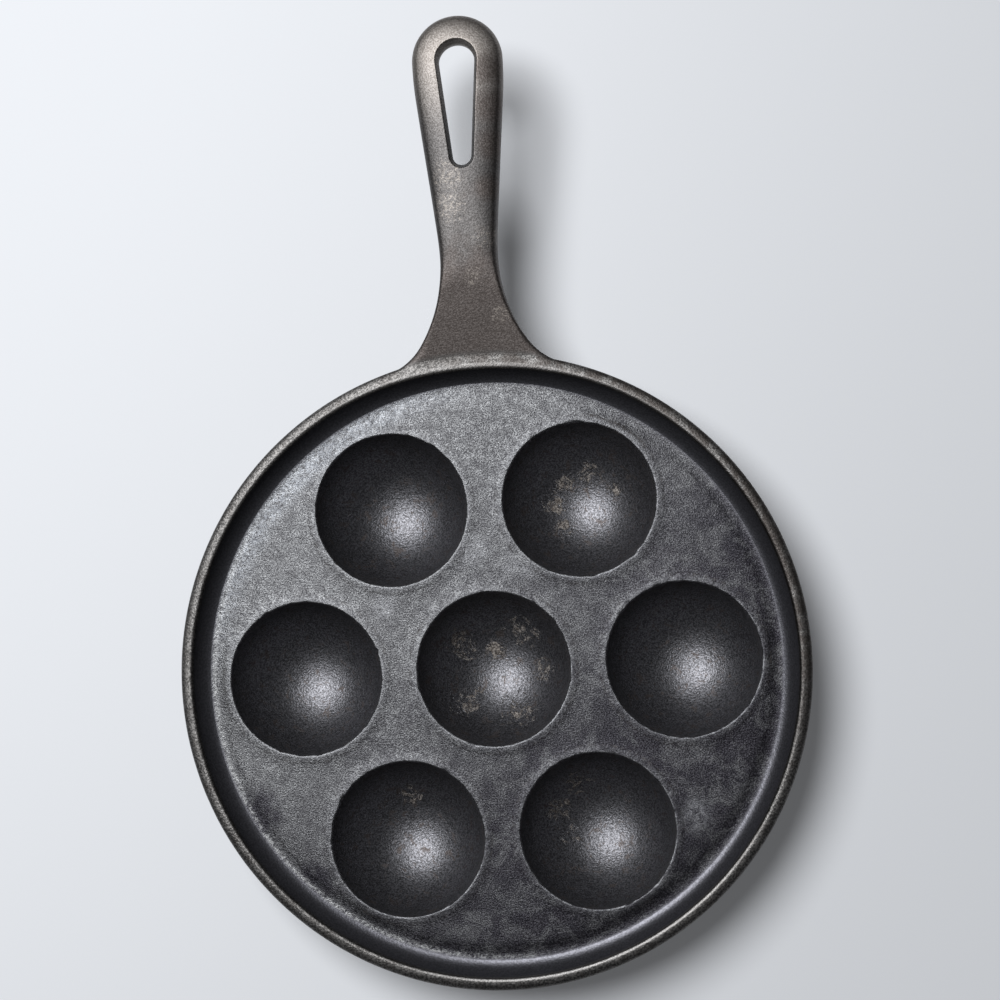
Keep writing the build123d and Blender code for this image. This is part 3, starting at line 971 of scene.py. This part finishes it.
def web_look(tree, place, flat, radius):
    """The upper face: grey worn iron with a bright grain, darker low and right with residues and painted
    shade, and a painted sheen high on the left.
    """
    fine, middling, broad, mottle, cloud, scuff = patterns(tree, place, WEB_PATTERNS)
    worn = grained(tree, fine, 0.36, 0.64, "#3c3c3e", "#777879")
    dull = add(tree, "MapRange", {0: middling, 1: 0.35, 2: 0.75, 3: 0, 4: 0.25}, **SMOOTH)
    worn = add(tree, "Mix", {0: dull, 6: worn, 7: srgb("#3c3a3e")}, **COLOURS)
    dark = add(tree, "MapRange", {0: mottle, 1: 0.48, 2: 0.7, 3: 0, 4: 0.45}, **SMOOTH)
    worn = add(tree, "Mix", {0: dark, 6: worn, 7: srgb("#2c2b2e")}, **COLOURS)

    # Dark, matt clouds: residues at their marks, and towards the lower right a darkening that is partly
    # residues and partly painted shade
    uneven = add(tree, "Math", {0: swing(tree, broad, 0.7), 1: swing(tree, middling, 0.5)}, operation="ADD")
    side = add(tree, "Math", {0: towards(tree, flat, 0.75, -0.66), 1: uneven}, operation="ADD")
    spots = add(tree, "Math", {0: marks(tree, flat, RESIDUE_MARKS), 1: uneven}, operation="ADD")
    side = past(tree, (side, -0.62, 0.6))
    spots = past(tree, (spots, 0, 1))
    residue_and_shade = add(tree, "Math", {0: side, 1: spots}, operation="MAXIMUM")
    soot_and_shade = grained(tree, fine, 0.4, 0.7, "#201f23", "#49484d")
    thin = add(tree, "MapRange", {0: cloud, 1: 0.45, 2: 0.64, 3: 1, 4: 0.45}, **SMOOTH)
    colour = add(tree, "Mix", {0: overlap(tree, residue_and_shade, thin), 6: worn, 7: soot_and_shade}, **COLOURS)

    # Bare metal rubbed bright, round the mouths and in patches. The thin pale ring right on each mouth's
    # edge is rubbed metal and partly a painted highlight of the rounded edge
    distance = well_distance(tree, flat)
    halo = past(tree, (distance, WELL_RADIUS + 3.6 * MM, WELL_RADIUS + 0.8 * MM))
    patches = marks(tree, flat, RUBBED_MARKS)
    rubbed = add(tree, "Math", {0: overlap(tree, halo, 0.5), 1: patches}, operation="MAXIMUM")
    rubbed = overlap(tree, rubbed, past(tree, (scuff, 0.36, 0.7)))
    edge = past(tree, (distance, WELL_RADIUS + 1.1 * MM, WELL_RADIUS + 0.5 * MM), (middling, 0.38, 0.6))
    rubbed = add(tree, "Math", {0: rubbed, 1: edge}, operation="MAXIMUM")
    colour = tinged(tree, colour, rubbed, 0.55, srgb("#8f9093"))
    # Paler and bluish near the cove high on the left: a painted sheen where the lamp's light falls
    painted_sheen = past(
        tree, (radius, COVE_START - 9 * MM, COVE_START - 3 * MM),
        (towards(tree, flat, -0.7, 0.7), 0.6, 0.9), (mottle, 0.62, 0.4),
    )
    colour = tinged(tree, colour, painted_sheen, 0.28, srgb("#8d9299"))

    dry = add(tree, "MapRange", {0: middling, 1: 0.3, 2: 0.7, 3: 0.42, 4: 0.52}, **SMOOTH)
    roughness = add(tree, "Mix", {0: residue_and_shade, 2: dry, 3: 0.48})
    look = (colour, roughness, plus(tree, fine, middling, 0.5), 1.0)
    in_cove = past(tree, (radius, COVE_START + 0.6 * MM, COVE_START + 2.2 * MM))
    look = join(tree, in_cove, look, cove_look(tree, place))
    # A paler band along the cove's foot on the left and low left: worn metal, and partly a painted
    # highlight where the border tilts to the lamp
    ridge = past(
        tree, (radius, COVE_START - 1.2 * MM, COVE_START + 0.4 * MM),
        (radius, COVE_FOOT - 0.1 * MM, COVE_FOOT - 1.2 * MM),
        (towards(tree, flat, -0.9, -0.45), 0.15, 0.65), (mottle, 0.56, 0.42),
    )
    return (tinged(tree, look[0], ridge, 0.5, srgb("#9b9c9c")), *look[1:])


def well_look(tree, place, flat):
    """Inside a well: baked oil, nearly black and satin, with ragged brown crusts."""
    fine, middling, ragged, dots = patterns(tree, place, WELL_PATTERNS)
    skin = grained(tree, fine, 0.34, 0.66, "#4a4a4c", "#7c7c80")
    thick = add(tree, "MapRange", {0: middling, 1: 0.3, 2: 0.5, 3: 0.35, 4: 0}, **SMOOTH)
    skin = add(tree, "Mix", {0: thick, 6: skin, 7: srgb("#3d3a3a")}, **COLOURS)
    tint = past(tree, (middling, 0.56, 0.62))
    colour = tinged(tree, skin, tint, 0.5, srgb("#5a4f48"))
    crust = past(tree, (plus(tree, ragged, marks(tree, flat, CRUST_MARKS), 0.17), 0.66, 0.72))
    colour = tinged(tree, colour, crust, 0.85, grained(tree, fine, 0.4, 0.65, "#4d4641", "#a39c94"))
    colour = tinged(tree, colour, past(tree, (dots, 0.73, 0.77)), 0.7, srgb("#6f6259"))
    baked = add(tree, "Math", {0: tint, 1: crust}, operation="MAXIMUM")
    roughness = add(tree, "Mix", {0: baked, 2: 0.46, 3: 0.58})
    height = plus(tree, plus(tree, fine, middling, 0.7), crust, 0.7)
    metal = add(tree, "Math", {0: 1.0, 1: overlap(tree, crust, 0.5)}, operation="SUBTRACT")
    return colour, roughness, height, metal


def lip_look(tree, place, flat, radius):
    """Rubbed grey with brown left in the hollows, darker towards the upper right, and a painted highlight
    on the inner edge low down and towards the handle; on the lip and the handle's foot.
    """
    fine, middling = patterns(tree, place, LIP_PATTERNS)
    lip = grained(tree, fine, 0.35, 0.65, "#464544", "#7b7977")
    # Stains at random, and darker towards the upper right
    right = past(tree, (towards(tree, flat, 0.77, 0.64), 0.35, 0.8), (middling, 0.35, 0.55))
    stain_and_darker_right = add(tree, "MapRange", {0: middling, 1: 0.45, 2: 0.75, 3: 0, 4: 0.5}, **SMOOTH)
    stain_and_darker_right = add(tree, "Math", {0: stain_and_darker_right, 1: overlap(tree, right, 0.75)}, operation="MAXIMUM")
    lip = add(tree, "Mix", {0: stain_and_darker_right, 6: lip, 7: srgb("#3f3a37")}, **COLOURS)
    # A paler line on the lip's inner edge, low down and towards the handle: painted highlight
    edge = past(tree, (radius, LIP_EDGE + 1.6 * MM, LIP_EDGE + 0.9 * MM))
    low = towards(tree, flat, 0.34, -0.94)
    low = add(tree, "MapRange", {0: low, 1: 0.7, 2: 0.95, 3: 0, 4: 0.5}, **SMOOTH)
    high = towards(tree, flat, -0.1, 1.0)
    high = add(tree, "MapRange", {0: high, 1: 0.35, 2: 0.8, 3: 0, 4: 0.25}, **SMOOTH)
    bright = overlap(tree, edge, add(tree, "Math", {0: low, 1: high}, operation="MAXIMUM"))
    lip = add(tree, "Mix", {0: bright, 6: lip, 7: srgb("#9a9896")}, **COLOURS)
    return lip, 0.5, fine, 1.0


def start(name):
    """An empty material and its tree."""
    material = bpy.data.materials.new(name)
    material.use_nodes = True
    material.node_tree.nodes.clear()
    return material, material.node_tree


def finish(material, look, relief):
    """Sets a look on a material, with its grain as deep as the relief."""
    tree = material.node_tree
    colour, roughness, height, metal = look
    bump = add(tree, "Bump", {"Height": height, "Distance": relief, "Strength": 1.0})
    shader = add(tree, "BsdfPrincipled", {
        "Base Color": colour, "Metallic": metal, "Roughness": roughness, "Normal": bump,
    })
    add(tree, "OutputMaterial", {"Surface": shader})
    return material


def web_iron():
    """Sand-cast iron of the web, seasoned and worn. It gives the eye a dull grey with a
    bright sparkling grain, sooty where residues sit and, low and right, also painted darker as shade, a
    painted sheen high on the left, and a matt black below."""
    material, tree = start("worn_cast_iron_web")
    place, flat, parts, radius = coordinates(tree)
    above = past(tree, (parts[2], PLATE_TOP - 2.6 * MM, PLATE_TOP - 2.2 * MM))
    look = join(tree, above, side_look(tree, place), web_look(tree, place, flat, radius))
    return finish(material, look, PAN_RELIEF)


def well_iron():
    """Cast iron of a cup under many coats of baked oil. It gives the eye a deep satin
    black with one soft highlight inside, the web's grey round the mouth, matt outside."""
    material, tree = start("oiled_cast_iron_well")
    place, flat, parts, radius = coordinates(tree)
    depth = add(tree, "Math", {0: PLATE_TOP, 1: parts[2]}, operation="SUBTRACT")
    lengths = (well_distance(tree, flat), depth)
    squares = [add(tree, "Math", {0: length, 1: 2.0}, operation="POWER") for length in lengths]
    away = add(tree, "Math", dict(enumerate(squares)), operation="ADD")
    away = add(tree, "Math", {0: away}, operation="SQRT")
    inside = past(tree, (away, WELL_RADIUS + 1.3 * MM, WELL_RADIUS + 0.9 * MM))
    ragged = swing(tree, patterns(tree, place, MOUTH_PATTERNS)[0], 0.8 * MM)
    ragged = add(tree, "Math", {0: depth, 1: ragged}, operation="ADD")
    above = past(tree, (ragged, 0.75 * MM, 0.35 * MM))
    look = join(tree, inside, side_look(tree, place), well_look(tree, place, flat))
    look = join(tree, above, look, web_look(tree, place, flat, radius))
    return finish(material, look, PAN_RELIEF)


def rim_iron():
    """Cast iron of the rim, wiped with oil and rubbed by hands and cloths. It gives
    the eye a smooth dark cove, a paler lip that catches the light, with a painted highlight on its inner
    edge, and a matt shoulder."""
    material, tree = start("rubbed_cast_iron_rim")
    place, flat, parts, radius = coordinates(tree)
    over_edge = past(tree, (radius, LIP_EDGE - 0.5 * MM, LIP_EDGE - 0.1 * MM))
    high_up = past(tree, (parts[2], RIM_TOP - 1.5 * MM, RIM_TOP - 0.9 * MM))
    on_lip = add(tree, "Math", {0: over_edge, 1: high_up}, operation="MAXIMUM")
    outside = past(
        tree, (radius, RIM_RADIUS - 3.0 * MM, RIM_RADIUS - 2.4 * MM),
        (parts[2], RIM_TOP - 1.5 * MM, RIM_TOP - 2.3 * MM),
    )
    below = past(tree, (parts[2], PLATE_TOP - 2.2 * MM, PLATE_TOP - 2.6 * MM))
    matt = add(tree, "Math", {0: outside, 1: below}, operation="MAXIMUM")
    look = join(tree, on_lip, cove_look(tree, place), lip_look(tree, place, flat, radius))
    return finish(material, join(tree, matt, look, side_look(tree, place)), PAN_RELIEF)


def side_iron():
    """Sand-cast iron of the side wall, seasoned but never rubbed. It gives the eye a
    matt brown-black skin with hardly a highlight."""
    material, tree = start("matt_cast_iron_side")
    place = add(tree, "TexCoord").outputs["Object"]
    return finish(material, side_look(tree, place), PAN_RELIEF)


def handle_iron():
    """Cast iron of the handle, smoothed by hands. It gives the eye a warm grey satin,
    painted paler towards the tip as a highlight, painted darker down the right of the head as shade, and
    dark brown on the root's slope."""
    material, tree = start("handled_cast_iron")
    place, flat, parts, radius = coordinates(tree)
    fine, middling, ragged = patterns(tree, place, HANDLE_PATTERNS)
    rubbed = grained(tree, fine, 0.34, 0.66, "#464443", "#605e5d")
    # The held colour, paler towards the tip, is a painted highlight where the head catches the lamp
    held = grained(tree, fine, 0.34, 0.66, "#69645f", "#8a8581")
    painted_tip_highlight = past(tree, (parts[1], TIP_Y - 50 * MM, TIP_Y - 12 * MM))
    rubbed = add(tree, "Mix", {0: painted_tip_highlight, 6: rubbed, 7: held}, **COLOURS)

    # Brown seasoning on the slope and in patches, and painted shade down the right of the head at its marks
    brown = grained(tree, fine, 0.35, 0.75, "#46403d", "#66605d")
    along = add(tree, "Math", {0: parts[1], 1: swing(tree, middling, 45 * MM)}, operation="ADD")
    on_slope = past(
        tree, (radius, CREASE - 0.5 * MM, CREASE + 3 * MM), (along, NECK_Y + 12 * MM, NECK_Y - 8 * MM),
    )
    patches = add(tree, "MapRange", {0: middling, 1: 0.5, 2: 0.8, 3: 0, 4: 0.5}, **SMOOTH)
    seasoning_and_shade = add(tree, "Math", {0: on_slope, 1: patches}, operation="MAXIMUM")
    seasoning_and_shade = add(tree, "Math", {0: seasoning_and_shade, 1: marks(tree, flat, HANDLE_SHADE_MARKS)}, operation="MAXIMUM")
    colour = tinged(tree, rubbed, seasoning_and_shade, 0.85, brown)
    speck = past(tree, (plus(tree, ragged, marks(tree, flat, SPECK_MARKS), 0.165), 0.67, 0.72))
    colour = tinged(tree, colour, speck, 0.4, srgb("#9b948c"))
    roughness = add(tree, "Mix", {0: on_slope, 2: 0.5, 3: 0.55})
    look = (colour, roughness, plus(tree, fine, middling, 0.5), 1.0)
    on_foot = past(tree, (radius, CREASE + 2.5 * MM, CREASE - 0.5 * MM))
    look = join(tree, on_foot, look, lip_look(tree, place, flat, radius))

    # The under side, by height over the arch
    share = add(tree, "Math", {0: TIP_Y, 1: parts[1]}, operation="SUBTRACT")
    for operation, value in (("DIVIDE", TIP_Y - NECK_Y), ("MINIMUM", 1.0), ("POWER", 2.0)):
        share = add(tree, "Math", {0: share, 1: value}, operation=operation)
    share = add(tree, "Math", {0: 1.0, 1: share}, operation="SUBTRACT")
    rise = overlap(tree, share, arch(TIP_Y, 0) - NECK_TOP)
    level = add(tree, "Math", {0: parts[2], 1: rise}, operation="SUBTRACT")
    under = past(tree, (level, NECK_UNDER + 2.5 * MM, NECK_UNDER))
    return finish(material, join(tree, under, look, side_look(tree, place)), HANDLE_RELIEF)


def floor_paint():
    """Matt pale paint. It gives the eye a plain ground, painted darker to the right as shade where the
    lamp's light falls off, that looks a little paler to the camera than the lamp makes it."""
    material, tree = start("matt_pale_paint")
    place = add(tree, "TexCoord").outputs["Object"]
    # Darker to the right: painted shade of the lamp's falloff
    across = add(tree, "VectorMath", {0: place, 1: (1, -0.35, 0)}, operation="DOT_PRODUCT")
    dull = past(tree, (across, -0.25, 0.25))
    rays = add(tree, "LightPath").outputs
    seen = add(tree, "Math", {0: rays["Is Camera Ray"], 1: rays["Is Glossy Ray"]}, operation="ADD")
    seen = add(tree, "Math", {0: seen, 1: rays["Is Transmission Ray"]}, operation="ADD")
    seen = add(tree, "Math", {0: seen, 1: 1.0}, operation="MINIMUM")
    colour = add(tree, "Mix", {0: dull, 6: srgb("#ced0d3"), 7: srgb("#bdbfc2")}, **COLOURS)
    shader = add(tree, "BsdfPrincipled", {
        "Base Color": colour, "Roughness": 0.9,
        "Emission Color": srgb("#eceef2"), "Emission Strength": overlap(tree, seen, 0.12),
    })
    add(tree, "OutputMaterial", {"Surface": shader})
    return material


def make_floor():
    """A plain pale floor under the foot."""
    bm = bmesh.new()
    bmesh.ops.create_grid(bm, x_segments=1, y_segments=1, size=FLOOR_HALF)
    mesh = bpy.data.meshes.new("floor")
    bm.to_mesh(mesh)
    bm.free()
    mesh.materials.append(floor_paint())
    floor = bpy.data.objects.new("floor", mesh)
    bpy.context.scene.collection.objects.link(floor)


def make_light():
    """One large soft light high on the left, and a dim sky."""
    data = bpy.data.lights.new("key", "AREA")
    data.shape = "DISK"
    data.size = LAMP_WIDTH
    data.energy = LAMP_WATTS
    data.color = srgb("#fcfdff")[:3]
    light = bpy.data.objects.new("key", data)
    light.location = LAMP_PLACE
    light.rotation_euler = (LAMP_TARGET - LAMP_PLACE).to_track_quat("-Z", "Y").to_euler()
    bpy.context.scene.collection.objects.link(light)
    world = bpy.data.worlds.new("dim_sky")
    world.use_nodes = True
    background = world.node_tree.nodes["Background"]
    background.inputs["Color"].default_value = srgb("#e9eef6")
    background.inputs["Strength"].default_value = SKY_STRENGTH
    bpy.context.scene.world = world


def make_camera():
    """The camera stands a little right of the axis and looks down on the pan."""
    data = bpy.data.cameras.new("camera")
    data.lens = CAMERA_LENS
    data.sensor_width = CAMERA_SENSOR
    camera = bpy.data.objects.new("camera", data)
    camera.location = CAMERA_PLACE
    camera.rotation_euler = Euler([radians(turn) for turn in CAMERA_TURNS])
    bpy.context.scene.collection.objects.link(camera)
    bpy.context.scene.camera = camera


def make_pan():
    """Every piece of the pan."""
    piece("plate", plate_shape(), web_iron(), "griddle_plate")
    piece("rim_ring", rim_shape(), rim_iron(), "rim")
    piece("side_wall", skirt_shape(), side_iron(), "skirt")
    cup_material = well_iron()
    blank = cup_blank()
    for name, centre in zip(CUPS, WELLS):
        piece("well_" + name, cup_shape(blank, centre), cup_material, "cup_" + name)
    blank.free()
    handle_material = handle_iron()
    piece("root", root_shape(), handle_material, "handle_root")
    piece("grip", grip_shape(), handle_material, "handle_grip")
    piece("eye", eye_shape(), handle_material, "hanging_eye")


make_pan()
make_floor()
make_light()
make_camera()
bpy.context.scene.view_settings.view_transform = "Standard"
